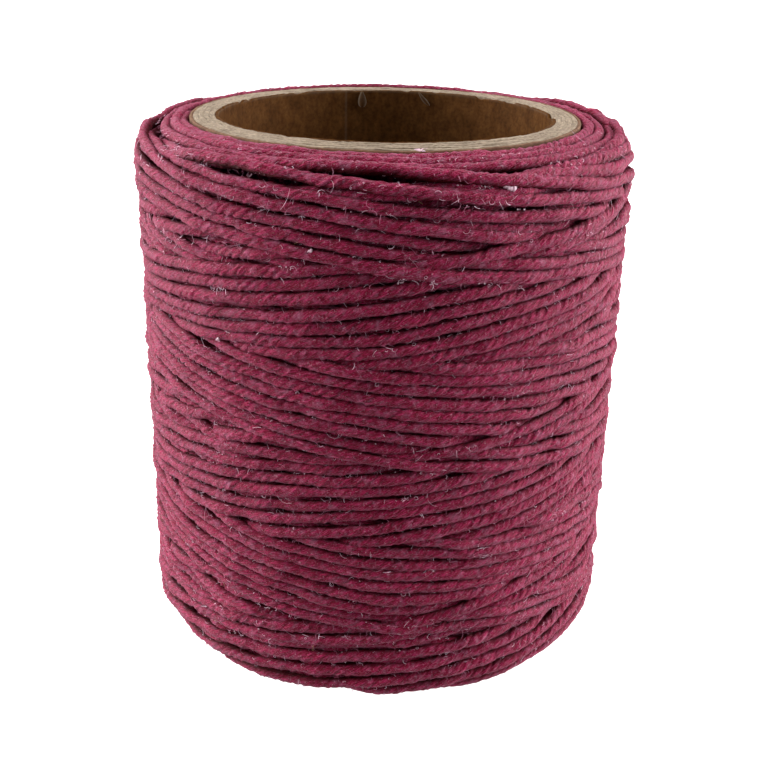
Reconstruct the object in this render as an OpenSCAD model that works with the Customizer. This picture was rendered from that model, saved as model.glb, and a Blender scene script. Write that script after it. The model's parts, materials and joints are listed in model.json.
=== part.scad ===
// Spool of waxed linen cord: one length of cord, cross-wound on an open paperboard tube.
// Millimetres. +Z runs up the tube's axis, and the origin is the centre of the tube's lower rim.
// The tube is a laminate of plies glued one round the next. The cord is one continuous length,
// shown here as the nested layers that its turns build up.

/* [Tube] */
// Diameter of the tube's open bore
bore_d = 38.1; // [25:0.1:50]
// Length of the tube from rim to rim
tube_length = 61.5; // [45:0.5:90]
// Thickness of the smooth kraft liner that faces the bore
liner_t = 0.4; // [0.2:0.1:0.8]
// Thickness of each grey board ply
board_t = 0.6; // [0.3:0.1:1]
// Number of board plies between the liner and the outer wrap
board_plies = 4; // [2:1:6]
// Thickness of the kraft wrap outside the board plies
wrap_t = 0.4; // [0.2:0.1:0.8]
// Bevel where the cutting blade pressed down the rim's inner and outer edges
rim_bevel = 0.15; // [0.05:0.05:0.2]

/* [Cord winding] */
// Diameter of the waxed cord
cord_d = 1.35; // [1:0.05:2]
// Number of layers that the cord builds up on the tube
cord_layers = 5; // [3:1:8]
// Radial thickness that one crossed layer adds
layer_t = 1.21; // [0.9:0.01:1.8]
// Bare tube left at each end of the winding
bare_end = 0.4; // [0.3:0.1:4]
// Radius of the rounded shoulder at the top of the winding
top_shoulder_r = 3.4; // [1:0.1:5]
// Radius of the rounded shoulder at the foot of the winding
foot_shoulder_r = 3.7; // [1:0.1:5]

/* [Hidden] */
$fn = 96;
bore_r = bore_d / 2;
board_r = bore_r + liner_t;
wrap_r = board_r + board_plies * board_t;
tube_r = wrap_r + wrap_t;
winding_r = tube_r + cord_layers * layer_t;
winding_foot = bare_end;
winding_top = tube_length - bare_end;

// Each turn of the outermost layer stands out as a round bead, its centre at least this far out.
bead_r = cord_d / 2;
bead_arc = [-60 : 30 : 60];
bead_seat = 0.1;

board_colour = [0.70, 0.63, 0.54];
kraft_colour = [0.42, 0.30, 0.20];
cord_colour = [0.52, 0.14, 0.24];

// A plain ring that stands on the origin plane
module ring(inner_r, outer_r, length) {
    difference() {
        cylinder(r = outer_r, h = length);
        translate([0, 0, -1]) cylinder(r = inner_r, h = length + 2);
    }
}

// The innermost ply, with its bore edges pressed down at both rims
module core_liner() {
    color(kraft_colour)
    rotate_extrude()
    polygon([
        [bore_r, rim_bevel], [bore_r + rim_bevel, 0], [board_r, 0],
        [board_r, tube_length], [bore_r + rim_bevel, tube_length], [bore_r, tube_length - rim_bevel]
    ]);
}

// One board ply, counted outwards from the liner
module core_board(ply) {
    inner_r = board_r + (ply - 1) * board_t;
    color(board_colour)
    ring(inner_r, inner_r + board_t, tube_length);
}

// The outermost ply, with its outer edges pressed down at both rims
module core_wrap() {
    color(kraft_colour)
    rotate_extrude()
    polygon([
        [wrap_r, 0], [tube_r - rim_bevel, 0], [tube_r, rim_bevel],
        [tube_r, tube_length - rim_bevel], [tube_r - rim_bevel, tube_length], [wrap_r, tube_length]
    ]);
}

// Radius of a layer's outer face, counted outwards from the bare tube
function layer_r(layer) = tube_r + layer * layer_t;

// How far a quarter-round of radius shoulder_r has fallen away, this far past its start
function fall(past, shoulder_r) =
    past <= 0 ? 0 : shoulder_r - sqrt(max(0, shoulder_r ^ 2 - past ^ 2));

// Heights of the rounded foot and top of the winding at radius r
function foot_z(r) = winding_foot + fall(r - (winding_r - foot_shoulder_r), foot_shoulder_r);
function top_z(r) = winding_top - fall(r - (winding_r - top_shoulder_r), top_shoulder_r);

// Radius of the winding's rounded outline at height z
function outline_r(z) = winding_r
    - fall(winding_foot + foot_shoulder_r - z, foot_shoulder_r)
    - fall(z - winding_top + top_shoulder_r, top_shoulder_r);

// A buried layer of cord, smooth along its length and rounded by its last turn at each end
module buried_cord_layer(layer) {
    end_r = layer_t / 2;
    middle_r = layer_r(layer) - end_r;
    foot_turn = foot_z(middle_r) + end_r;
    top_turn = top_z(middle_r) - end_r;
    color(cord_colour)
    rotate_extrude()
    polygon(concat(
        [for (a = [180 : 30 : 360]) [middle_r + end_r * cos(a), foot_turn + end_r * sin(a)]],
        [for (a = [0 : 30 : 180]) [middle_r + end_r * cos(a), top_turn + end_r * sin(a)]]
    ));
}

// Points round the outside of one turn of the outermost layer, its centre at height z
function bead(z, inner_r) =
    let (centre_r = max(inner_r + bead_seat, outline_r(z) - bead_r))
    [for (a = bead_arc) [centre_r + bead_r * cos(a), z + bead_r * sin(a)]];

// The outermost layer, beaded by the turns of the cord
module outer_cord_layer() {
    inner_r = layer_r(cord_layers - 1);
    foot = foot_z(inner_r);
    top = top_z(inner_r);
    turns = floor((top - foot) / cord_d);
    pitch = (top - foot) / turns;
    color(cord_colour)
    rotate_extrude()
    polygon(concat(
        [[inner_r, foot]],
        [for (turn = [0 : turns - 1]) each bead(foot + (turn + 0.5) * pitch, inner_r)],
        [[inner_r, top]]
    ));
}

module cord_layer(layer) {
    if (layer == cord_layers) outer_cord_layer();
    else buried_cord_layer(layer);
}

core_liner();
for (ply = [1 : board_plies])
    core_board(ply);
core_wrap();
for (layer = [1 : cord_layers])
    cord_layer(layer);
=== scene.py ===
"""Spool of waxed linen cord, cross-wound on an open paperboard tube."""
import json
import math

import bpy
import numpy as np
from mathutils import Matrix, Vector


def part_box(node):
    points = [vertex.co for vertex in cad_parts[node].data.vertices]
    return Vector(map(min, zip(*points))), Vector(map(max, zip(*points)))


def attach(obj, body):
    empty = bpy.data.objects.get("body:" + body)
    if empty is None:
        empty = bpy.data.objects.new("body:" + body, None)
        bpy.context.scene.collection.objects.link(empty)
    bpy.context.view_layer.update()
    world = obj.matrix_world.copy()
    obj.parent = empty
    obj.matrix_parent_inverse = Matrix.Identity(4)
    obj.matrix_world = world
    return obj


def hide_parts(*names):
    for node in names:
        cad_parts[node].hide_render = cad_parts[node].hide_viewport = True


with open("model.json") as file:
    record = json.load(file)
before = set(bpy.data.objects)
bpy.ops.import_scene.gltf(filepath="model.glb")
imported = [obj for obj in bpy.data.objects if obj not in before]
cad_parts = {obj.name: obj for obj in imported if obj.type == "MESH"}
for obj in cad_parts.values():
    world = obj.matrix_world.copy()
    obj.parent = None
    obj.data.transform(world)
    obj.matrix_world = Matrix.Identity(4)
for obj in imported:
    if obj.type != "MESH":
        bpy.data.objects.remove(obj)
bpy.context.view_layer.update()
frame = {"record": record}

# ---------------------------------------------------------------- sizes, in millimetres
MM = 0.001
BODY = "root"
CORE_NODES = ["core_liner", "core_board_1", "core_board_2", "core_board_3", "core_board_4", "core_wrap"]
CORD_NODES = ["cord_layer_1", "cord_layer_2", "cord_layer_3", "cord_layer_4", "cord_layer_5"]


def outer_radius(node):
    """Outer radius of a round CAD node."""
    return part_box(node)[1].x / MM


def height_range(node):
    """Lowest and highest z of a CAD node."""
    low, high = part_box(node)
    return low.z / MM, high.z / MM


TUBE_LENGTH = height_range("core_wrap")[1]
BORE_R = next(m for m in frame["record"]["mounts"] if m["name"] == "core_bore")["dims"]["r_mm"]
TUBE_R = outer_radius("core_wrap")
WINDING_R = outer_radius("cord_layer_5")
WINDING_FOOT, WINDING_TOP = height_range("cord_layer_1")

CORD_D = 1.35
FOOT_SHOULDER_R = 3.7
TOP_SHOULDER_R = 3.4
RIM_BELOW = 0.06            # how far the worn rim lies below the tube's full length

# ---------------------------------------------------------------- the winding
STEPS = 720                 # points in one turn
CELL = 0.1                  # height of one cell of the height map
LEAD = 20.4                 # rise of the cord in one turn
STROKE_LAG = 1.0 / 14.8     # part of a turn by which each double stroke falls short of six turns
CYCLE_TURNS = 6.0 - STROKE_LAG
CYCLES = 31                 # double strokes, each up and back down
OUTER_CYCLES = 19           # the last of them, which are all that shows
STEP_ANGLE = 2 * math.pi / STEPS


def fall(past, shoulder_r):
    """How far a quarter-round has fallen away this far past its start."""
    past = np.clip(past, 0.0, shoulder_r)
    return shoulder_r - np.sqrt(shoulder_r**2 - past**2)


def smooth_noise(rng, count, reach):
    """Smooth seeded noise of unit spread, its features about reach samples long."""
    knots = rng.standard_normal(count // reach + 5)
    at = np.arange(count) / reach + 1.0
    i = at.astype(int)
    f = at - i
    a, b, c, d = knots[i - 1], knots[i], knots[i + 1], knots[i + 2]
    return b + 0.5 * f * (c - a + f * (2 * a - 5 * b + 4 * c - d + f * (3 * (b - c) + d - a)))


def soft_positive(value, width):
    """max(value, 0) with its corner rounded over width."""
    return np.where(np.abs(value) < width, (value + width) ** 2 / (4 * width), np.maximum(value, 0.0))


def soft_clip(value, low, high, width):
    """value kept between low and high, with both corners rounded over width."""
    value = high - soft_positive(high - value, width)
    return low + soft_positive(value - low, width)


# Waves of the wander: how many go round the spool, their wavelength along it, their size
DRIFT_WAVES = [(1, 31.0, 0.30), (2, -23.0, 0.22), (3, 27.0, 0.16),
               (5, -17.0, 0.10), (7, 15.0, 0.07), (-4, 19.0, 0.12)]


def drift(azimuth, z, depth):
    """Height by which all cord near this place has wandered from its even spacing."""
    rng = np.random.default_rng(5)
    total = np.zeros_like(z)
    for waves, wavelength, size in DRIFT_WAVES:
        phase, turn = rng.uniform(0, 2 * math.pi, 2)
        total += size * np.sin(waves * azimuth + 2 * math.pi * z / wavelength + phase + turn * depth)
    return total


END_TURN = 0.466            # where round the spool the cord ends, in turns from -Y
GUIDE_OFFSET = 0.8          # how far above the winding's middle the strokes are centred
SLOWING = 20.0              # height over which a stroke slows down before it turns back
FOOT_CLEAR = 0.4            # gap that the strokes leave at the foot
TOP_CLEAR = -0.35           # the same at the top, where they run past the end
FOOT_SPREAD = 1.9           # how much earlier than that some strokes turn back at the foot
TOP_SPREAD = 2.2            # the same at the top
DRIFT_FADE = 8.0            # height over which the wander dies out towards each end
GOLDEN = 0.618              # share by which the turning places step on, so that they don't repeat


def guide_path(rng, cycles):
    """Azimuth in steps and height of the guide that lays the last cycles of the cord."""
    a = CORD_D / 2
    turns = CYCLE_TURNS
    count = int(cycles * turns * STEPS)
    t = np.arange(count) / STEPS
    part = t - np.floor(t / turns) * turns
    middle = (WINDING_FOOT + WINDING_TOP) / 2 + GUIDE_OFFSET
    z = np.where(part < turns / 2, part - turns / 4, 0.75 * turns - part) * LEAD + middle
    steps = np.round((t + END_TURN - cycles * turns) * STEPS).astype(int)
    away_from_ends = np.clip(np.minimum(z - WINDING_FOOT, WINDING_TOP - z) / DRIFT_FADE, 0.0, 1.0)
    z += away_from_ends * drift(steps * STEP_ANGLE, z, t / t[-1])
    stop = np.modf(np.floor(t / turns * 2 + 0.5) * GOLDEN)[0] ** 1.4
    low = WINDING_FOOT + a + FOOT_CLEAR + FOOT_SPREAD * stop
    high = WINDING_TOP - a - TOP_CLEAR - TOP_SPREAD * stop
    z = eased_end(z, middle + turns / 4 * LEAD, high)
    z = -eased_end(-z, turns / 4 * LEAD - middle, -low)
    z = soft_clip(z, low, high, 1.2)
    z += 0.06 * smooth_noise(rng, count, 250) + 0.045 * smooth_noise(rng, count, 70)
    return steps, np.clip(z, WINDING_FOOT + a, WINDING_TOP - a - TOP_CLEAR)


def eased_end(z, peak, stop):
    """Slows a stroke down over its last stretch, so that it turns back close to its stop."""
    late = np.clip((z - peak + SLOWING) / SLOWING, 0.0, 1.0)
    return z - late**2 * (peak - stop - 0.5)


def outline_r(z):
    """Radius of the winding's rounded outline at height z."""
    foot = fall(WINDING_FOOT + FOOT_SHOULDER_R - z, FOOT_SHOULDER_R)
    top = fall(z - WINDING_TOP + TOP_SHOULDER_R, TOP_SHOULDER_R)
    return WINDING_R - foot - top


class HeightMap:
    """Radius of the winding's surface over azimuth and height, as cord is laid on it."""

    SINK = 0.62             # how thick soft cord is under tension, as part of its width
    GRIP = 0.84             # part of its width at which one soft cord starts to ride up on the next

    def __init__(self, base):
        self.r = base.copy()
        a = CORD_D / 2
        reach = int(a / CELL)
        self.window = np.arange(-reach, reach + 1)
        self.profile = self.arch(a)
        self.feeler = np.where(np.abs(self.window * CELL) < a * self.GRIP, self.arch(a * self.GRIP), -5.0)

    def arch(self, half_width):
        """Height of a round cord above its centre, across its width."""
        inside = np.maximum(0.0, 1.0 - (self.window * CELL / half_width) ** 2)
        return np.sqrt(inside) * CORD_D / 2 * self.SINK

    def under(self, column, z):
        """Cells of the map that lie under a cord at these places."""
        j = np.round(z / CELL).astype(int)[..., None] + self.window
        return column[..., None], np.clip(j, 0, self.r.shape[1] - 1)

    def contact(self, column, z):
        """Radius at which a cord's centre rests on what is already laid."""
        return (self.r[self.under(column, z)] + self.feeler).max(-1)

    def lay(self, column, z, r):
        """Raises the surface to the crest of the cord laid at these places."""
        column, j = self.under(column, z)
        np.maximum.at(self.r, (np.broadcast_to(column, j.shape), j), r[:, None] + self.profile)


SLIP = 0.3                  # how far a cord may slip sideways as it settles
SLIP_COST = 0.10            # how much lower a hollow has to be for a cord to slip that far


def settled(heights, column, z, last):
    """Sideways slip of each stretch of cord into the nearest hollow."""
    slips = np.linspace(-SLIP, SLIP, 7)
    cost = heights.contact(column[:, None], z[:, None] + slips) + SLIP_COST * (slips / SLIP) ** 2
    best = slips[cost.argmin(-1)]
    kernel = np.array([1, 2, 3, 4, 3, 2, 1]) / 16
    return np.convolve(np.concatenate([[last] * 3, best, [best[-1]] * 3]), kernel, "valid")


def eased(values, reach):
    """A run of values with its corners rounded over reach samples each way."""
    kernel = np.hanning(2 * reach + 3)[1:-1]
    return np.convolve(np.pad(values, reach, mode="edge"), kernel / kernel.sum(), "valid")


def taut(rest, step_angle):
    """Radius of a stretched cord that spans the hollows between its supports."""
    spanned = rest.copy()
    shrink = math.cos(step_angle)
    for _ in range(30):
        spanned[1:-1] = np.maximum(rest[1:-1], 0.5 * (spanned[:-2] + spanned[2:]) * shrink)
    return spanned


WRAPS = 3.4                 # turns against the tube at each end
WRAP_STARTS = {True: 200, False: 520}   # azimuth in steps where they start, at the top and the foot
WRAP_RISE = 0.42            # how far the first of them stands past the rest of the winding
BACK_RISE = 0.35            # how much further they stand past it at the back of the top
WRAP_TUCK = 3.0             # how far the first of them starts below, under the others
TUCK_TURNS = 0.6            # part of a turn that it takes to come up from there
WRAP_DIP = 0.9              # how far the outermost of them has slipped inward
WRAP_GROWTH = 1.2           # how much each turn after the first lies further out


def end_wraps(at_top):
    """Azimuth in steps, height and radius of the wraps against the tube at one end."""
    rng = np.random.default_rng(71 if at_top else 72)
    steps = np.arange(int(WRAPS * STEPS)) + WRAP_STARTS[at_top]
    share = np.arange(len(steps)) / STEPS
    r = TUBE_R + CORD_D * 0.52 + WRAP_GROWTH * soft_positive(share - 0.9, 0.2)
    r = r + 0.07 * smooth_noise(rng, len(steps), 60)
    inward = WRAP_DIP * np.clip(share / WRAPS, 0, 1) ** 1.6
    inward = inward + 0.12 * np.abs(smooth_noise(rng, len(steps), 50))
    inward -= BACK_RISE * np.clip(-np.cos(steps * STEP_ANGLE), 0.0, 1.0) if at_top else 0.0
    tuck = WRAP_TUCK * np.cos(np.clip(share / TUCK_TURNS, 0, 1) * math.pi / 2) ** 2
    inward += tuck - (WRAP_RISE if at_top else WRAP_RISE / 2)
    z = WINDING_TOP - CORD_D / 2 - inward if at_top else WINDING_FOOT + CORD_D / 2 + inward
    return steps, z, np.maximum(r, TUBE_R + CORD_D * 0.5)


CHUNK = STEPS // 6          # points of cord that are laid at one time
AHEAD = STEPS // 8          # points beyond them that help to hold the cord up
BACK = 24                   # points before them that do the same
EVERY = 3                   # points in one step of the stretched cord
SETTLE_EVERY = 12           # points between the places where a cord may slip
EASE_IN = 36.0              # points over which one chunk's slip takes over from the last


def wind(base):
    """Azimuth in steps, height and radius of the outer cycles laid on a base, and the surface."""
    heights = HeightMap(base)
    for at_top in (False, True):
        wrap_steps, wrap_z, wrap_r = end_wraps(at_top)
        heights.lay(wrap_steps % STEPS, wrap_z, wrap_r)
    steps, z = guide_path(np.random.default_rng(11), OUTER_CYCLES)
    count = len(steps)
    r = np.zeros(count)
    lowest = WINDING_FOOT + CORD_D / 2
    highest = WINDING_TOP - CORD_D / 2 - TOP_CLEAR
    last = 0.0
    for start in range(0, count, CHUNK):
        end = min(count, start + CHUNK)
        far = min(count, end + AHEAD)
        marks = np.arange(start, end, SETTLE_EVERY)
        slip = settled(heights, steps[marks] % STEPS, z[marks], last)
        slip = np.interp(np.arange(start, end), np.append(marks, end), np.append(slip, slip[-1]))
        slip = last + (slip - last) * np.clip(np.arange(end - start) / EASE_IN, 0.0, 1.0)
        last = slip[-1]
        z[start:end] = np.clip(z[start:end] + slip, lowest, highest)
        guess = z[start:far].copy()
        if far > end:
            guess[end - start:] += last * np.linspace(1.0, 0.0, far - end)
        rest = heights.contact(steps[start:far] % STEPS, guess)
        head = min(BACK, start)
        rest = np.concatenate([r[start - head:start], rest])
        coarse = taut(rest[::EVERY], EVERY * 2 * math.pi / STEPS)
        full = np.interp(np.arange(len(rest)), np.arange(0, len(rest), EVERY), coarse)
        full = np.maximum(full, rest)
        r[start:end] = eased(full, 5)[head:head + end - start]
        heights.lay(steps[start:end] % STEPS, z[start:end], r[start:end])
    return steps, z, r, heights.r


def softened(surface):
    """The surface without the relief of single cords, for trimming what lies under it."""
    coarse = surface.reshape(STEPS // 12, 12, -1).mean(1)
    around = np.hanning(9) / np.hanning(9).sum()
    coarse = sum(weight * np.roll(coarse, k - 4, axis=0) for k, weight in enumerate(around))
    up = np.hanning(23) / np.hanning(23).sum()
    padded = np.pad(coarse, ((0, 0), (11, 11)), mode="edge")
    coarse = np.apply_along_axis(np.convolve, 1, padded, up, "valid")
    wrapped = np.concatenate([coarse[-1:], coarse, coarse[:1]])
    at = (np.arange(STEPS) + 0.5) / 12 + 0.5
    i = at.astype(int)
    f = (at - i)[:, None]
    return wrapped[i] * (1 - f) + wrapped[i + 1] * f


TRIMS = 4                   # times that the buried base is trimmed
TRIM_SHARE = 0.7            # part of the surface's error that one trim takes away
SURFACE_DIP = 0.25          # how far the mean surface lies below the outline of the cords' crests
CREST_ABOVE = 0.35          # how far the surface stands above the centres of its cords
PRESS_LIMITS = (0.55, 1.3)  # the least and the most that the layers' height may be scaled by
PROUD = 0.32                # how far a cord's crest may stand out of the outline
WAVER = 0.052               # how unevenly a cord lies from place to place
OUTER_DEPTH = 2.2           # depth of the outer cycles, at the first guess
END_STEP = 0.9              # height at each end of the winding that the base leaves free
END_RISE = 1.6              # height over which the base then rises to the outline


def wind_to_outline():
    """Winds the outer cycles, with the buried base trimmed until the surface follows the outline."""
    z = np.arange(int(round(TUBE_LENGTH / CELL)) + 1) * CELL
    inside = (z > WINDING_FOOT) & (z < WINDING_TOP)
    from_end = np.minimum(z - WINDING_FOOT, WINDING_TOP - z) - END_STEP
    ceiling = TUBE_R + np.clip(from_end, 0.0, END_RISE) / END_RISE * (outline_r(z) - TUBE_R)
    guess = np.where(inside, outline_r(z) - OUTER_DEPTH, TUBE_R)
    base = np.tile(np.minimum(ceiling, guess), (STEPS, 1))
    for _ in range(TRIMS):
        laid = wind(base)
        over = softened(laid[3]) - (outline_r(z) - SURFACE_DIP)
        base = np.where(inside, np.clip(base - TRIM_SHARE * over, TUBE_R, ceiling), TUBE_R)
    steps, height, r, surface = wind(base)
    floor = TUBE_R + CORD_D / 2
    top_cord = np.maximum(outline_r(z) - SURFACE_DIP - CREST_ABOVE, floor + 0.3) - floor
    press = np.clip(top_cord / np.maximum(softened(surface) - CREST_ABOVE - floor, 0.3), *PRESS_LIMITS)
    r = floor + (r - floor) * press[steps % STEPS, np.round(height / CELL).astype(int)]
    surface = np.where(inside, floor + CREST_ABOVE + (surface - CREST_ABOVE - floor) * press, surface)
    rng = np.random.default_rng(61)
    height = height + WAVER * smooth_noise(rng, len(r), 9)
    highest = outline_r(height) - CORD_D / 2 + PROUD
    r = highest - soft_positive(highest - eased(r, 9), 0.3)
    return (steps, height, r + WAVER * smooth_noise(rng, len(r), 8), surface), base


def buried_path(base):
    """Azimuth in steps, height and radius of the cycles that the outer ones bury."""
    cycles = CYCLES - OUTER_CYCLES
    turns = CYCLE_TURNS
    t = np.arange(int(cycles * turns * STEPS)) / STEPS
    part = t - np.floor(t / turns) * turns
    middle = (WINDING_FOOT + WINDING_TOP) / 2
    reach = (WINDING_TOP - WINDING_FOOT - CORD_D) / 2 - 1.0
    z = middle + reach * (1.0 - np.abs(part / turns * 4 - 2))
    steps = np.round((t + END_TURN - CYCLES * turns) * STEPS).astype(int)
    ceiling = base[steps % STEPS, np.round(z / CELL).astype(int)] - CORD_D / 2
    floor = TUBE_R + CORD_D / 2
    r = floor + np.maximum(0.0, ceiling - floor) * t / t[-1]
    r = np.convolve(np.pad(r, 30, mode="edge"), np.full(61, 1 / 61), "valid")
    return steps, z, r


def cord_points(steps, z, r):
    """Points of the cord's centreline, with azimuth 0 facing -Y and growing towards +X."""
    azimuth = steps * STEP_ANGLE
    return np.stack([r * np.sin(azimuth), -r * np.cos(azimuth), z], 1)


# ---------------------------------------------------------------- meshes
def new_mesh(name, points, quads, smooth=True):
    """A mesh object from points in millimetres and an array of quads or triangles."""
    mesh = bpy.data.meshes.new(name)
    quads = np.asarray(quads, np.int32)
    sides = quads.shape[1]
    mesh.vertices.add(len(points))
    mesh.vertices.foreach_set("co", (np.asarray(points) * MM).astype(np.float32).ravel())
    mesh.loops.add(quads.size)
    mesh.loops.foreach_set("vertex_index", quads.ravel())
    mesh.polygons.add(len(quads))
    mesh.polygons.foreach_set("loop_start", np.arange(0, quads.size, sides, dtype=np.int32))
    mesh.update(calc_edges=True)
    mesh.polygons.foreach_set("use_smooth", np.full(len(quads), smooth))
    mesh.validate()
    obj = bpy.data.objects.new(name, mesh)
    bpy.context.scene.collection.objects.link(obj)
    return obj


def add_number(obj, name, values):
    """Stores one number at each point, for the materials to read."""
    attribute = obj.data.attributes.new(name, "FLOAT", "POINT")
    attribute.data.foreach_set("value", values.astype(np.float32).ravel())


def add_vector(obj, name, values):
    """Stores one vector at each point, for the materials to read."""
    attribute = obj.data.attributes.new(name, "FLOAT_VECTOR", "POINT")
    attribute.data.foreach_set("vector", values.astype(np.float32).ravel())


def tube_quads(rings, sides):
    """Quads of a tube of that many rings, open at its ends."""
    ring, side = np.meshgrid(np.arange(rings - 1), np.arange(sides), indexing="ij")
    a = ring * sides + side
    b = ring * sides + (side + 1) % sides
    return np.stack([a, b, b + sides, a + sides], -1).reshape(-1, 4)


def closed_tube_quads(rings, sides):
    """Quads of a tube whose two ends are closed. The number of sides is even."""
    k = np.arange(sides // 2 - 1)
    cap = np.stack([-k % sides, k + 1, k + 2, (-k - 1) % sides], 1)
    return np.concatenate([tube_quads(rings, sides), cap[:, ::-1], cap + (rings - 1) * sides])


def finish_piece(obj, material, slot_name, *nodes):
    """Gives a piece its material, hides the CAD nodes that it stands for, and attaches it to the body."""
    obj.data.materials.append(material)
    if nodes:
        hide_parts(*nodes)
    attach(obj, BODY)
    return obj


PLIES = 4
LAY = 4.3                   # length of one turn of the cord's twist, which is left-handed
FIBRE_LAY = 8.6             # the same for the fibres, which lean less than the plies that they make up
GROOVE = 0.075              # depth of the groove between plies, as part of the radius
ROUGHNESS = 0.105           # small lumps of wax and fibre, as part of the radius
FLATTENED = 0.97            # the cord's thickness as part of its width
FINE_SIDES = 16             # sides of a cord that shows
COARSE_SIDES = 6            # sides of a buried cord, which has no plies
WIDTH_LIMITS = (0.84, 1.15)


def outward(points):
    """Direction square to the winding's rounded outline at each point."""
    r = np.hypot(points[:, 0], points[:, 1])
    top = np.clip((points[:, 2] - WINDING_TOP + TOP_SHOULDER_R) / TOP_SHOULDER_R, 0.0, 1.0)
    foot = np.clip((WINDING_FOOT + FOOT_SHOULDER_R - points[:, 2]) / FOOT_SHOULDER_R, 0.0, 1.0)
    radial = 1.0 - 0.8 * np.maximum(top, foot)
    facing = np.stack([points[:, 0] / r * radial, points[:, 1] / r * radial, top - foot], 1)
    return facing / np.linalg.norm(facing, axis=1)[:, None]


def cord_piece(name, points, along, width, sides, grooved, rng):
    """A stretch of the twisted cord as a closed tube."""
    tangent = np.gradient(points, axis=0)
    tangent /= np.linalg.norm(tangent, axis=1)[:, None]
    out = points * [1.0, 1.0, 0.0]
    out /= np.linalg.norm(out, axis=1)[:, None]
    out -= (out * tangent).sum(1)[:, None] * tangent
    out /= np.linalg.norm(out, axis=1)[:, None]
    side = np.cross(tangent, out)
    own = np.arange(sides) * (2 * math.pi / sides)
    angle = own[None, :] - along[:, None] * (2 * math.pi / LAY)
    lobe = np.abs(np.sin(own * PLIES / 2)) ** 0.7 if grooved else np.ones(sides)
    lumps = rng.standard_normal((len(points) + 2, sides))
    lumps = 0.25 * (lumps[:-2] + 2 * lumps[1:-1] + lumps[2:]) * (ROUGHNESS if grooved else 0.0)
    depth = GROOVE * (1.0 + 0.6 * smooth_noise(rng, len(points), 7))[:, None]
    radius = CORD_D / 2 * width[:, None] * (1.0 - depth * (1.0 - lobe)[None, :] + lumps)
    ring = (points[:, None, :]
            + (radius * np.cos(angle) * FLATTENED)[..., None] * out[:, None, :]
            + (radius * np.sin(angle))[..., None] * side[:, None, :])
    rings = len(points)
    obj = new_mesh(name, ring.reshape(-1, 3), closed_tube_quads(rings, sides))
    # Depth into the grooves between plies, which the cord's material darkens as painted shade.
    add_number(obj, "groove", np.tile(1.0 - lobe, rings))
    # How far each point faces out of the winding's outline: the cord's material darkens the sides that face
    # inward, between cords, as painted shade, and keeps its sheen to the outward ones.
    facing = outward(points)
    upward = (np.cos(angle) * (out * facing).sum(1)[:, None]
              + np.sin(angle) * (side * facing).sum(1)[:, None])
    add_number(obj, "crest", 0.5 + 0.5 * upward)
    lean = angle + along[:, None] * (2 * math.pi / FIBRE_LAY)
    thread = np.stack([np.tile(along[:, None], sides), np.cos(lean), np.sin(lean)], -1)
    add_vector(obj, "thread", thread)
    return obj


def along_cord(points):
    """Length along the cord to each of its points."""
    return np.concatenate([[0.0], np.cumsum(np.linalg.norm(np.diff(points, axis=0), axis=1))])


def cord_pieces(name, points, cuts, every, sides, nodes, material):
    """Splits one run of the cord into pieces, each standing for one of the nodes."""
    rng = np.random.default_rng(23)
    count = len(points)
    along = along_cord(points)
    width = 1.0 + 0.06 * smooth_noise(rng, count, 90) + 0.055 * smooth_noise(rng, count, 12)
    width = np.clip(width, *WIDTH_LIMITS)
    ends = np.linspace(0, count - 1, cuts + 1).astype(int)
    for i, (a, b) in enumerate(zip(ends[:-1], ends[1:])):
        pick = np.arange(a, b + 1, every)
        grooved = sides > COARSE_SIDES
        obj = cord_piece(f"{name}_{i + 1}", points[pick], along[pick], width[pick], sides, grooved, rng)
        finish_piece(obj, material, "waxed_cord", nodes[i * len(nodes) // cuts])
    return along[-1]


def build_cord(material):
    """The winding: fine pieces for the turns that show, coarse ones for those they bury."""
    laid, base = wind_to_outline()
    steps, z, r, surface = laid
    hidden = cord_points(*buried_path(base))
    length = cord_pieces("cord_buried", hidden, 2, 6, COARSE_SIDES, CORD_NODES[:2], material)
    for at_top, end in ((False, "foot"), (True, "top")):
        wraps = cord_points(*end_wraps(at_top))
        length += cord_pieces(f"cord_{end}_wraps", wraps, 1, 2, FINE_SIDES, CORD_NODES[:1], material)
    seen = cord_points(steps, z, r)
    length += cord_pieces("cord_outer", seen, 7, 2, FINE_SIDES, CORD_NODES[2:], material)
    print(f"cord length {length / 1000:.2f} m")
    return surface


# ---------------------------------------------------------------- fibres and wax
def surface_radius(surface, azimuth, z):
    """Radius of the wound surface at an azimuth in radians and a height."""
    column = np.round(azimuth / (2 * math.pi) * STEPS).astype(int) % STEPS
    return surface[column, np.clip(np.round(z / CELL).astype(int), 0, surface.shape[1] - 1)]


def round_place(r, azimuth, z):
    """Points at a radius, an azimuth in radians from -Y towards +X, and a height."""
    return np.stack([r * np.sin(azimuth), -r * np.cos(azimuth), z], -1)


def on_winding(rng, surface, count, in_crevice=0.0):
    """Random places on the wound surface, a part of them moved to the nearest crevice between cords."""
    azimuth = rng.uniform(0, 2 * math.pi, count)
    z = rng.uniform(WINDING_FOOT + 0.3, WINDING_TOP - 0.1, count)
    nearby = z[:, None] + np.linspace(-0.7, 0.7, 15)
    lowest = surface_radius(surface, azimuth[:, None] + 0 * nearby, nearby).argmin(1)
    beside = nearby[np.arange(count), lowest] + rng.normal(0, 0.12, count)
    z = np.clip(np.where(rng.uniform(0, 1, count) < in_crevice, beside, z), WINDING_FOOT, WINDING_TOP)
    r = surface_radius(surface, azimuth, z)
    out = round_place(np.ones(count), azimuth, np.zeros(count))
    past = np.clip((z - (WINDING_TOP - TOP_SHOULDER_R)) / TOP_SHOULDER_R, 0.0, 1.0)[:, None]
    out = out * (1.0 - 0.7 * past) + np.array([0.0, 0.0, 1.0]) * past
    out /= np.linalg.norm(out, axis=1)[:, None]
    return round_place(r, azimuth, z), out, azimuth


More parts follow.
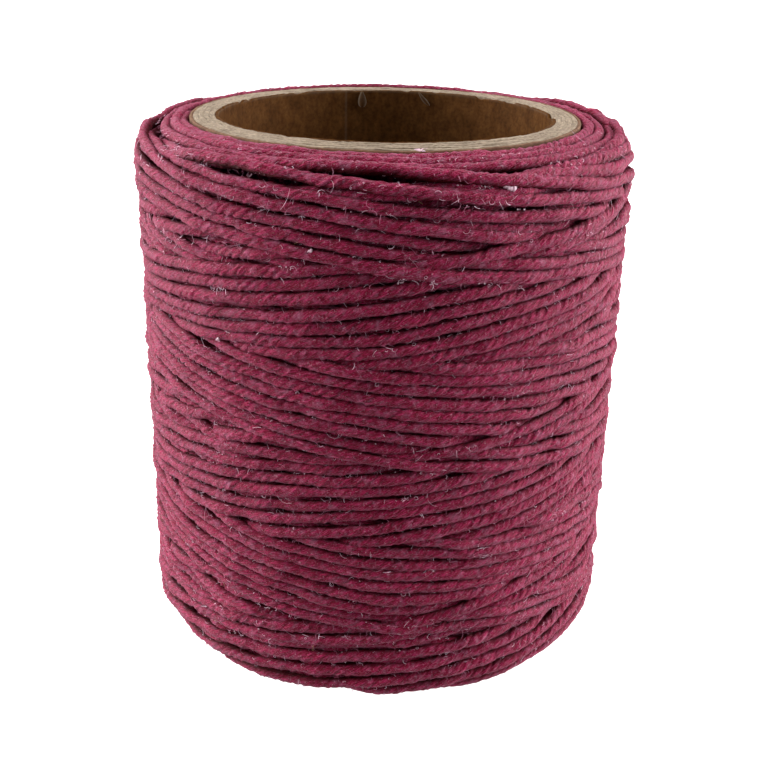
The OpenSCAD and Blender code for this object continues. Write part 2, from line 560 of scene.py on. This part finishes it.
def hairs(name, rng, surface, count, length, radius, lift, curl, in_crevice, material):
    """Thin loose fibres that stand out of the cord, as three-sided tapered tubes."""
    place, out, azimuth = on_winding(rng, surface, count, in_crevice)
    along = round_place(np.ones(count), azimuth + math.pi / 2, np.zeros(count))
    across = np.cross(out, along)
    heading = rng.uniform(0, 2 * math.pi, count)
    long = rng.uniform(*length, count)
    bend = rng.normal(0, curl, count) / long
    rise = rng.uniform(*lift, count)
    sag = rng.uniform(0.5, 1.3, count)
    rings, sides = 6, 3
    points = np.empty((count, rings, 3))
    points[:, 0] = place - out * 0.12
    for i in range(1, rings):
        share = (i - 0.5) / (rings - 1)
        way = heading + bend * long * share
        up = rise * (1.0 - sag * share * 1.6)
        step = (along * np.cos(way)[:, None] + across * np.sin(way)[:, None]) * np.sqrt(1 - up**2)[:, None]
        points[:, i] = points[:, i - 1] + (step + out * up[:, None]) * (long / (rings - 1))[:, None]
    points[..., 2] = np.maximum(points[..., 2], 2 * radius)
    return hair_mesh(name, points, radius * rng.uniform(0.7, 1.3, count), sides, material)


def hair_mesh(name, points, radius, sides, material):
    """Tapered tubes along many short runs of points, as one piece."""
    count, rings = points.shape[:2]
    tangent = np.gradient(points, axis=1)
    tangent /= np.linalg.norm(tangent, axis=2)[..., None]
    first = np.cross(tangent, [0.31, 0.52, 0.8])
    first /= np.linalg.norm(first, axis=2)[..., None]
    second = np.cross(tangent, first)
    taper = np.linspace(1.0, 0.45, rings)
    verts = np.empty((count, rings, sides, 3))
    for k in range(sides):
        turn = 2 * math.pi * k / sides
        spoke = first * math.cos(turn) + second * math.sin(turn)
        verts[:, :, k] = points + spoke * (radius[:, None] * taper)[..., None]
    quads = tube_quads(rings, sides)
    all_quads = (quads[None] + (np.arange(count) * rings * sides)[:, None, None]).reshape(-1, 4)
    obj = new_mesh(name, verts.reshape(-1, 3), all_quads)
    return finish_piece(obj, material, "waxed_cord")


def flecks(name, rng, place, out, size, material):
    """Small irregular flakes of wax that lie on the cord."""
    count = len(place)
    sides = 7
    side = np.cross(out, rng.standard_normal((count, 3)))
    side /= np.linalg.norm(side, axis=1)[:, None]
    other = np.cross(out, side)
    stretch = rng.uniform(0.4, 1.0, (count, 1))
    verts = np.empty((count, 2 * sides + 2, 3))
    for layer, (shrink, height) in enumerate(((1.0, -0.25), (0.7, 0.12))):
        for k in range(sides):
            turn = 2 * math.pi * k / sides
            reach = size[:, None] * rng.uniform(0.6, 1.15, (count, 1)) * shrink
            spot = (side * math.cos(turn) + other * stretch * math.sin(turn)) * reach
            verts[:, layer * sides + k] = place + spot + out * size[:, None] * height
    verts[:, -2] = place - out * size[:, None] * 0.4
    verts[:, -1] = place + out * size[:, None] * 0.18
    k = np.arange(sides)
    n = (k + 1) % sides
    walls = np.concatenate([np.stack([k, n, n + sides], 1), np.stack([k, n + sides, k + sides], 1)])
    caps = np.concatenate([np.stack([n, k, np.full(sides, 2 * sides)], 1),
                           np.stack([k + sides, n + sides, np.full(sides, 2 * sides + 1)], 1)])
    tris = np.concatenate([walls, caps])
    all_tris = (tris[None] + (np.arange(count) * (2 * sides + 2))[:, None, None]).reshape(-1, 3)
    obj = new_mesh(name, verts.reshape(-1, 3), all_tris)
    return finish_piece(obj, material, "waxed_cord")


# Larger flakes of wax: azimuth in degrees from -Y towards +X, height, size
WAX_FLAKES = [(-25.0, 60.2, 0.34), (-19.8, 60.2, 0.28), (24.8, 58.9, 0.8), (-14.2, 52.8, 0.3),
              (4.0, 50.0, 0.3), (11.2, 39.3, 0.22), (-36.0, 42.0, 0.25), (30.0, 24.0, 0.25),
              (-51.5, 14.2, 0.3), (140.0, 44.0, 0.4), (200.0, 20.0, 0.4), (95.0, 31.0, 0.3)]


FLAKE_PIECES = 6


def flake_clusters(rng, place, out, size):
    """Breaks each large flake into a few small ones that overlap."""
    pieces = FLAKE_PIECES
    offset = rng.standard_normal((pieces, len(place), 3)) * [1.0, 1.0, 0.4] * 0.5
    offset -= (offset * out).sum(-1)[..., None] * out
    spread = place + offset * size[:, None]
    sizes = np.tile(size, pieces) * rng.uniform(0.3, 0.7, pieces * len(place))
    return spread.reshape(-1, 3), np.tile(out, (pieces, 1)), sizes


# A pale smear of wax on the rim: radius, azimuth in degrees, size
RIM_SMUDGE = [(21.8, 9.0, 0.6), (21.2, 9.9, 0.5), (20.7, 8.6, 0.3)]


def build_wax_and_hairs(surface):
    """Everything that is loose on the winding. The calls draw on one random sequence, in this order."""
    rng = np.random.default_rng(37)
    fuzz = plain_material("loose_fibre", (0.50, 0.17, 0.27), 0.6)
    pale = plain_material("waxed_fibre", (0.92, 0.56, 0.69), 0.5)
    for name in ("hair_fuzz_1", "hair_fuzz_2"):
        hairs(name, rng, surface, 6500, (0.3, 1.2), 0.026, (0.1, 0.85), 2.2, 0.35, fuzz)
    for name in ("hair_curls_1", "hair_curls_2"):
        hairs(name, rng, surface, 5500, (0.3, 1.1), 0.029, (0.1, 0.6), 3.0, 0.6, pale)
    hairs("hair_long", rng, surface, 160, (1.5, 3.5), 0.018, (0.05, 0.3), 2.0, 0.3, pale)
    wax = plain_material("wax_flake", (0.62, 0.41, 0.49), 0.5)
    place, out, _ = on_winding(rng, surface, 5000, 0.7)
    size = 0.03 + 0.10 * rng.uniform(0, 1, len(place)) ** 2.5
    flecks("wax_specks", rng, place - out * 0.02, out, size, wax)
    azimuth, z, size = (np.array(v) for v in zip(*WAX_FLAKES))
    azimuth = np.radians(azimuth)
    out = round_place(np.ones(len(z)), azimuth, np.full(len(z), 0.5))
    out /= np.linalg.norm(out, axis=1)[:, None]
    place = round_place(surface_radius(surface, azimuth, z), azimuth, z)
    flecks("wax_flakes", rng, *flake_clusters(rng, place, out, size), wax)
    r, azimuth, size = (np.array(v) for v in zip(*RIM_SMUDGE))
    place = round_place(r, np.radians(azimuth), np.full(len(r), TUBE_LENGTH - RIM_BELOW))
    up = np.tile([0.0, 0.0, 1.0], (len(r), 1))
    flecks("rim_smudge", rng, *flake_clusters(rng, place, up, size), wax)
    straw = plain_material("straw_fibre", (0.56, 0.36, 0.18), 0.6)
    hairs("hair_straw", rng, surface, 130, (0.5, 1.2), 0.032, (0.0, 0.25), 0.6, 0.5, straw)


# ---------------------------------------------------------------- materials
def new_material(name):
    """A new node material, with its nodes, its links and its shader."""
    material = bpy.data.materials.new(name)
    material.use_nodes = True
    nodes, links = material.node_tree.nodes, material.node_tree.links
    shader = nodes["Principled BSDF"]
    return material, nodes, links, shader


def attribute_node(nodes, name):
    """Reads what add_number or add_vector stored."""
    node = nodes.new("ShaderNodeAttribute")
    node.attribute_name = name
    return node


def noise_node(nodes, links, vector, scale, detail, stretch=None):
    """Noise over a vector, stretched by an optional factor on each axis."""
    if stretch:
        by = nodes.new("ShaderNodeVectorMath")
        by.operation = "MULTIPLY"
        by.inputs[1].default_value = stretch
        links.new(vector, by.inputs[0])
        vector = by.outputs[0]
    noise = nodes.new("ShaderNodeTexNoise")
    noise.inputs["Scale"].default_value = scale
    noise.inputs["Detail"].default_value = detail
    links.new(vector, noise.inputs["Vector"])
    return noise


def ramp_node(nodes, links, factor, stops):
    """A colour ramp with (position, colour) stops."""
    ramp = nodes.new("ShaderNodeValToRGB")
    elements = ramp.color_ramp.elements
    while len(elements) < len(stops):
        elements.new(0.5)
    for element, (position, colour) in zip(elements, stops):
        element.position = position
        element.color = (*colour, 1)
    links.new(factor, ramp.inputs["Fac"])
    return ramp


def mix_node(nodes, links, blend, factor, first, second):
    """Mixes colour sockets or plain colours."""
    mix = nodes.new("ShaderNodeMix")
    mix.data_type = "RGBA"
    mix.blend_type = blend
    for socket, value in (("Factor", factor), ("A", first), ("B", second)):
        target = mix.inputs[{"Factor": 0, "A": 6, "B": 7}[socket]]
        if hasattr(value, "is_output"):
            links.new(value, target)
        else:
            target.default_value = value if socket == "Factor" else (*value, 1)
    return mix.outputs[2]


def bump_node(nodes, links, height, strength, distance, normal=None):
    """Bump from a height, on top of an optional earlier normal."""
    bump = nodes.new("ShaderNodeBump")
    bump.inputs["Strength"].default_value = strength
    bump.inputs["Distance"].default_value = distance
    links.new(height, bump.inputs["Height"])
    if normal:
        links.new(normal, bump.inputs["Normal"])
    return bump.outputs["Normal"]


def plain_material(name, colour, roughness):
    """A small part's material: one colour, mottled a little."""
    material, nodes, links, shader = new_material(name)
    coords = nodes.new("ShaderNodeTexCoord")
    noise = noise_node(nodes, links, coords.outputs["Object"], 700.0, 2.0)
    pale = tuple(min(1.0, c * 1.25) for c in colour)
    deep = tuple(c * 0.7 for c in colour)
    ramp = ramp_node(nodes, links, noise.outputs["Fac"], [(0.35, deep), (0.65, pale)])
    links.new(ramp.outputs["Color"], shader.inputs["Base Color"])
    shader.inputs["Roughness"].default_value = roughness
    return material


def cord_material():
    """Dyed linen under wax: fine fibres, painted shade in the grooves between plies and in the crevices
    between cords, and a pale bloom in patches.
    """
    material, nodes, links, shader = new_material("waxed_cord")
    thread = attribute_node(nodes, "thread").outputs["Vector"]
    place = nodes.new("ShaderNodeTexCoord").outputs["Object"]
    fibres = noise_node(nodes, links, thread, 3.2, 6.0, (0.55, 2.2, 2.2)).outputs["Fac"]
    dye = noise_node(nodes, links, thread, 0.16, 2.0, (1.0, 0.4, 0.4)).outputs["Fac"]
    wax = noise_node(nodes, links, place, 1300.0, 5.0).outputs["Fac"]
    grit = noise_node(nodes, links, place, 5200.0, 2.0).outputs["Fac"]
    tint = ramp_node(nodes, links, fibres, [(0.32, (0.115, 0.001, 0.011)), (0.50, (0.27, 0.005, 0.039)),
                                            (0.67, (0.52, 0.036, 0.140))]).outputs["Color"]
    tone = ramp_node(nodes, links, dye, [(0.3, (0.84, 0.80, 0.82)), (0.7, (1.1, 1.1, 1.1))]).outputs["Color"]
    colour = mix_node(nodes, links, "MULTIPLY", 1.0, tint, tone)
    # Painted shade: the colour is darkened in the grooves between plies.
    groove = attribute_node(nodes, "groove").outputs["Fac"]
    colour = mix_node(nodes, links, "MULTIPLY", groove, colour, (0.72, 0.62, 0.66))
    bloom = ramp_node(nodes, links, wax, [(0.50, (0, 0, 0)), (0.78, (0.30, 0.30, 0.30))]).outputs["Color"]
    colour = mix_node(nodes, links, "MIX", bloom, colour, (0.58, 0.28, 0.43))
    speck = ramp_node(nodes, links, grit, [(0.60, (0, 0, 0)), (0.74, (0.34, 0.34, 0.34))]).outputs["Color"]
    colour = mix_node(nodes, links, "MIX", speck, colour, (0.66, 0.40, 0.49))
    # Painted shade: the colour is darkened on the sides of the cords that face into the winding, in the
    # crevices between cords.
    crest = ramp_node(nodes, links, attribute_node(nodes, "crest").outputs["Fac"],
                      [(0.50, (0.22, 0.05, 0.08)), (0.88, (1.0, 1.0, 1.0))]).outputs["Color"]
    colour = mix_node(nodes, links, "MULTIPLY", 1.0, colour, crest)
    links.new(colour, shader.inputs["Base Color"])
    gloss = ramp_node(nodes, links, wax, [(0.35, (0.45, 0.45, 0.45)), (0.7, (0.68, 0.68, 0.68))])
    links.new(gloss.outputs["Color"], shader.inputs["Roughness"])
    shader.inputs["Specular IOR Level"].default_value = 0.10
    sheen = ramp_node(nodes, links, attribute_node(nodes, "crest").outputs["Fac"],
                      [(0.56, (0, 0, 0)), (0.92, (0.28, 0.28, 0.28))])
    links.new(sheen.outputs["Color"], shader.inputs["Sheen Weight"])
    shader.inputs["Sheen Roughness"].default_value = 0.35
    shader.inputs["Sheen Tint"].default_value = (1.0, 0.70, 0.86, 1)
    normal = bump_node(nodes, links, fibres, 0.9, 0.00024)
    normal = bump_node(nodes, links, grit, 0.8, 0.00012, normal)
    normal = bump_node(nodes, links, wax, 0.4, 0.0003, normal)
    links.new(normal, shader.inputs["Normal"])
    return material


def paper_material(name, dark, light, along, bump, shine=0.25):
    """Paper or board: fibres along the ply, fine lines across it, and soft mottling."""
    material, nodes, links, shader = new_material(name)
    coords = nodes.new("ShaderNodeTexCoord").outputs["Object"]
    lathe = attribute_node(nodes, "lathe").outputs["Vector"]
    lines = noise_node(nodes, links, lathe, 1.0, 4.0, along)
    mottle = noise_node(nodes, links, coords, 420.0, 4.0)
    grain = noise_node(nodes, links, coords, 2600.0, 3.0)
    middle = tuple((a + b) / 2 for a, b in zip(dark, light))
    tone = ramp_node(nodes, links, lines.outputs["Fac"], [(0.30, dark), (0.50, middle), (0.70, light)])
    shade = ramp_node(nodes, links, mottle.outputs["Fac"],
                      [(0.3, (0.78, 0.76, 0.74)), (0.7, (1.12, 1.12, 1.12))])
    colour = mix_node(nodes, links, "MULTIPLY", 1.0, tone.outputs["Color"], shade.outputs["Color"])
    speck = ramp_node(nodes, links, grain.outputs["Fac"],
                      [(0.35, (0.74, 0.72, 0.70)), (0.58, (1.04, 1.04, 1.04))])
    colour = mix_node(nodes, links, "MULTIPLY", 1.0, colour, speck.outputs["Color"])
    wear = attribute_node(nodes, "wear").outputs["Fac"]
    colour = mix_node(nodes, links, "MIX", wear, colour, (0.20, 0.155, 0.115))
    links.new(colour, shader.inputs["Base Color"])
    shader.inputs["Roughness"].default_value = 0.82
    shader.inputs["Specular IOR Level"].default_value = shine
    normal = bump_node(nodes, links, lines.outputs["Fac"], bump, 0.0001)
    normal = bump_node(nodes, links, grain.outputs["Fac"], 0.4, 0.00008, normal)
    links.new(normal, shader.inputs["Normal"])
    return material


def stage_material():
    """White, and bright enough to stay white in shade."""
    material, _, _, shader = new_material("pale_stage")
    shader.inputs["Base Color"].default_value = (0.9, 0.9, 0.9, 1)
    shader.inputs["Emission Color"].default_value = (1, 1, 1, 1)
    shader.inputs["Emission Strength"].default_value = 1.2
    return material


# ---------------------------------------------------------------- stage, lights and camera
def camera_only(obj):
    """Hides the stage from everything but the camera, so that it lights and shades nothing."""
    obj.visible_diffuse = False
    obj.visible_glossy = False
    obj.visible_transmission = False
    obj.visible_shadow = False


FLOOR_SIDE = 4000.0         # half the floor's width
FLOOR_Z = -0.3
BACKDROP_R = 3500.0


def build_stage():
    """A flat floor and a dome that rises from it."""
    material = stage_material()
    corners = [(-1, -1), (1, -1), (1, 1), (-1, 1)]
    floor = new_mesh("floor", [(x * FLOOR_SIDE, y * FLOOR_SIDE, FLOOR_Z) for x, y in corners],
                     [(0, 1, 2, 3)], False)
    rings = []
    for elevation in np.linspace(0, 0.5 * math.pi * 0.98, 9):
        for azimuth in np.linspace(0, 2 * math.pi, 33)[:-1]:
            rings.append((BACKDROP_R * math.cos(elevation) * math.cos(azimuth),
                          BACKDROP_R * math.cos(elevation) * math.sin(azimuth),
                          BACKDROP_R * math.sin(elevation)))
    backdrop = new_mesh("backdrop", rings, tube_quads(9, 32), True)
    for obj in (floor, backdrop):
        obj.data.materials.append(material)
        camera_only(obj)


def area_light(name, azimuth, elevation, distance, width, height, power):
    """A soft light at this azimuth from -Y towards +X, aimed at the spool's middle."""
    data = bpy.data.lights.new(name, "AREA")
    data.shape = "RECTANGLE"
    data.size = width
    data.size_y = height
    data.energy = power
    a, e = math.radians(azimuth), math.radians(elevation)
    away = Vector((math.sin(a) * math.cos(e), -math.cos(a) * math.cos(e), math.sin(e)))
    obj = bpy.data.objects.new(name, data)
    obj.location = Vector((0, 0, TUBE_LENGTH * MM / 2)) + away * distance
    obj.rotation_mode = "QUATERNION"
    obj.rotation_quaternion = away.to_track_quat("Z", "Y")
    bpy.context.scene.collection.objects.link(obj)


def build_lights():
    """Two large side lights, a weaker one above, a faint bounce from below, and an even fill."""
    area_light("left_softbox", -100, 12, 0.6, 0.6, 0.7, 11.0)
    area_light("right_softbox", 100, 12, 0.6, 0.6, 0.7, 9.8)
    area_light("top_softbox", 0, 88, 0.7, 0.5, 0.5, 2.7)
    area_light("table_bounce", 0, -60, 0.4, 0.5, 0.4, 0.6)
    world = bpy.data.worlds.new("soft_fill")
    world.use_nodes = True
    background = world.node_tree.nodes["Background"]
    background.inputs["Color"].default_value = (1, 1, 1, 1)
    background.inputs["Strength"].default_value = 0.28
    bpy.context.scene.world = world


IMAGE_SIDE = 760
CAMERA_PITCH = 0.379        # how far it looks down, in radians
CAMERA_ROLL = 0.0203        # how far it leans over, in radians
CAMERA_DISTANCE = 138.0     # to the spool's middle
FOCAL_PIXELS = 1101.0
TARGET_X, TARGET_Y = 380.4, 361.3   # where in the image the spool's middle lies


def build_camera():
    """The camera at the viewing angle of the picture, upright apart from its slight roll."""
    data = bpy.data.cameras.new("camera")
    data.sensor_width = 36.0
    data.lens = 36.0 * FOCAL_PIXELS / IMAGE_SIDE
    data.shift_x = (IMAGE_SIDE / 2 - TARGET_X) / IMAGE_SIDE
    data.shift_y = (TARGET_Y - IMAGE_SIDE / 2) / IMAGE_SIDE
    data.clip_start, data.clip_end = 0.01, 20.0
    camera = bpy.data.objects.new("camera", data)
    pitch, roll = CAMERA_PITCH, CAMERA_ROLL
    forward = Vector((0, math.cos(pitch), -math.sin(pitch)))
    right = Vector((1, 0, 0))
    up = right.cross(forward)
    across = right * math.cos(roll) + up * math.sin(roll)
    upward = up * math.cos(roll) - right * math.sin(roll)
    target = Vector((0, 0, TUBE_LENGTH * MM / 2))
    place = target - forward * CAMERA_DISTANCE * MM
    camera.matrix_world = Matrix((
        (across.x, upward.x, -forward.x, place.x),
        (across.y, upward.y, -forward.y, place.y),
        (across.z, upward.z, -forward.z, place.z),
        (0, 0, 0, 1)))
    bpy.context.scene.collection.objects.link(camera)
    bpy.context.scene.camera = camera


# ---------------------------------------------------------------- the paper tube
AROUND = 1080               # points round a ply


def periodic_noise(rng, waves, count=AROUND):
    """Smooth noise of unit spread round a circle, with features down to one part in waves."""
    knots = rng.standard_normal(waves)
    at = np.arange(count) / count * waves
    i = at.astype(int)
    f = at - i
    f = f * f * (3 - 2 * f)
    return knots[i % waves] * (1 - f) + knots[(i + 1) % waves] * f


def ply_mesh(name, inner, outer, rim_top, rim_foot, wall_rows, shape=None):
    """A closed ring from radius inner to outer, whose rims stand at the given heights round it."""
    azimuth = np.arange(AROUND) * (2 * math.pi / AROUND)
    thick = outer - inner
    edge = min(0.09, thick * 0.25)
    rows = []
    heights = 1.0 - np.linspace(1, 0, wall_rows) ** 2
    for share in heights:
        rows.append((outer, share, -edge if share > 0.5 else edge))
    rows += [(outer - edge * 0.3, 1.0, -edge * 0.3), (outer - edge, 1.0, 0.0),
             ((inner + outer) / 2, 1.0, 0.02),
             (inner + edge, 1.0, 0.0), (inner + edge * 0.3, 1.0, -edge * 0.3)]
    for share in heights[::-1]:
        rows.append((inner, share, -edge if share > 0.5 else edge))
    rows += [(inner + edge * 0.3, 0.0, edge * 0.3), (inner + edge, 0.0, 0.0),
             (outer - edge, 0.0, 0.0), (outer - edge * 0.3, 0.0, edge * 0.3)]
    count = len(rows)
    r = np.empty((AROUND, count))
    z = np.empty((AROUND, count))
    for i, (radius, share, rise) in enumerate(rows):
        r[:, i] = radius
        z[:, i] = rim_foot + (rim_top - rim_foot) * share + rise
    wear = np.zeros_like(r)
    if shape:
        r, z, wear = shape(azimuth, r, z, wear)
    points = round_place(r, azimuth[:, None], z)
    a, b = np.meshgrid(np.arange(AROUND), np.arange(count), indexing="ij")
    an, bn = (a + 1) % AROUND, (b + 1) % count
    quads = np.stack([a * count + b, an * count + b, an * count + bn, a * count + bn], -1).reshape(-1, 4)
    obj = new_mesh(name, points.reshape(-1, 3), quads)
    add_number(obj, "wear", wear)
    flat = np.stack([points[..., 0], points[..., 1], r * 5.0 + z * 0.35], -1)
    add_vector(obj, "lathe", flat.reshape(-1, 3))
    return obj


SEAM_AZIMUTH = 195.8        # where the liner's edges meet, in degrees from -Y
NICK_AZIMUTH = 310.5        # where a bite is missing from the liner's rim


def liner_shape(azimuth, r, z, wear):
    """The bore's face: the seam's small step, and the rubbed edge under the rim."""
    degrees = np.degrees(azimuth)[:, None]
    on_bore = r < BORE_R + 0.01
    past_seam = degrees - SEAM_AZIMUTH
    seam = np.exp(-(past_seam / 0.45) ** 2)
    step = 0.025 * (1 + np.tanh(past_seam * 2)) * np.exp(-np.clip(past_seam, 0, None) / 14)
    r = r - on_bore * step
    top = np.clip((z - (TUBE_LENGTH - 0.45)) / 0.4, 0, 1)
    wear = on_bore * (0.4 * top + 0.15 * seam)
    return r, z, wear


RIM_LIP = 0.36              # extra height of the bore's edge at the front, which makes the rim look thicker


def build_core():
    """The tube's plies, from the liner outwards, and the liner's torn flaps."""
    rng = np.random.default_rng(41)
    liner = paper_material("kraft_liner", (0.066, 0.023, 0.004), (0.108, 0.044, 0.010),
                           (1.1, 1.1, 1.6), 0.3, 0.08)
    wrap = paper_material("kraft_wrap", (0.12, 0.055, 0.03), (0.24, 0.13, 0.075), (0.5, 0.5, 2.0), 0.5)
    board = paper_material("board", (0.20, 0.150, 0.105), (0.44, 0.355, 0.265), (0.7, 0.7, 3.4), 1.0)
    foot = np.zeros(AROUND)
    lip_share = np.clip(np.cos(np.arange(AROUND) * (2 * math.pi / AROUND)), 0.0, 1.0) ** 0.8
    last_outer = BORE_R
    for node in CORE_NODES:
        outer = outer_radius(node)
        inner = last_outer
        last_outer = outer
        rim = TUBE_LENGTH - RIM_BELOW + 0.02 * periodic_noise(rng, 60) + 0.015 * periodic_noise(rng, 300)
        rim += RIM_LIP * lip_share * np.clip((TUBE_R - outer) / (TUBE_R - BORE_R), 0.0, 1.0)
        if node == "core_liner":
            ragged = np.clip(periodic_noise(rng, 130) * 0.5 + periodic_noise(rng, 46) * 0.6 - 0.3, 0, 1.4)
            rim -= 0.05 + 0.28 * ragged
            degrees = np.degrees(np.arange(AROUND) * 2 * math.pi / AROUND)
            rim -= 0.5 * np.exp(-((degrees - NICK_AZIMUTH) / 1.6) ** 4)
            obj = ply_mesh("liner_ply", inner, outer, rim, foot, 36, liner_shape)
            finish_piece(obj, liner, "kraft_liner", node)
        elif node == "core_wrap":
            rim -= 0.05
            obj = ply_mesh("wrap_ply", inner, outer, rim, foot, 24)
            finish_piece(obj, wrap, "kraft_wrap", node)
        else:
            rim -= 0.05 * np.clip(periodic_noise(rng, 90), 0, 1)
            obj = ply_mesh(node.replace("core_board", "board_ply"), inner, outer, rim, foot, 8)
            finish_piece(obj, board, "board", node)
    build_torn_flaps(liner)


FLAP_THICK = 0.12


def torn_flap(name, azimuth, z, width, height, lean, curl, material):
    """A small torn tongue of the liner that stands off the bore's wall."""
    across, along = 15, 19
    u = np.linspace(-1, 1, across)
    v = np.linspace(0, 1, along)
    u, v = np.meshgrid(u, v, indexing="ij")
    rounded = np.sqrt(np.clip(np.sin(math.pi * np.clip(v * 0.94 + 0.05, 0, 1)), 0, 1))
    half = width / 2 * rounded * (0.45 + 0.75 * v)
    off = curl * (0.25 + np.sin(math.pi * v * 0.8)) * (0.45 + 0.55 * u**2) + 0.05
    side = u * half + lean * (1 - v) * height
    down = -v * height
    shells = []
    for thickness in (0.0, FLAP_THICK):
        r = BORE_R - off * 0.8 - thickness
        shells.append(round_place(r, math.radians(azimuth) + side / BORE_R, z + down))
    front, back = shells[1].reshape(-1, 3), shells[0].reshape(-1, 3)
    n = across * along
    i, j = np.meshgrid(np.arange(across - 1), np.arange(along - 1), indexing="ij")
    a = (i * along + j).ravel()
    quads = np.stack([a, a + 1, a + along + 1, a + along], 1)
    rim = np.concatenate([np.arange(along), np.arange(2, across) * along - 1,
                          np.arange(n - 1, n - along - 1, -1), np.arange(across - 2, 0, -1) * along])
    following = np.roll(rim, -1)
    edge = np.stack([rim, following, following + n, rim + n], 1)
    points = np.concatenate([front, back])
    obj = new_mesh(name, points, np.concatenate([quads, quads[:, ::-1] + n, edge[:, ::-1]]))
    rub = np.clip(np.abs(u) ** 3 + (1 - v) * 0.3, 0, 1).ravel() * 0.8
    add_number(obj, "wear", np.concatenate([rub, rub]))
    add_vector(obj, "lathe", points)
    return finish_piece(obj, material, "kraft_liner")


def build_torn_flaps(material):
    """Two tears at the back of the bore's upper edge."""
    torn_flap("liner_tear_1", 189.5, TUBE_LENGTH - 0.25, 1.3, 2.0, 0.0, 0.32, material)
    torn_flap("liner_tear_2", 162.5, TUBE_LENGTH - 0.2, 0.8, 1.6, 0.9, 0.22, material)


scene = bpy.context.scene
scene.view_settings.view_transform = "Standard"
build_camera()
build_stage()
build_lights()
build_core()
surface = build_cord(cord_material())
build_wax_and_hairs(surface)
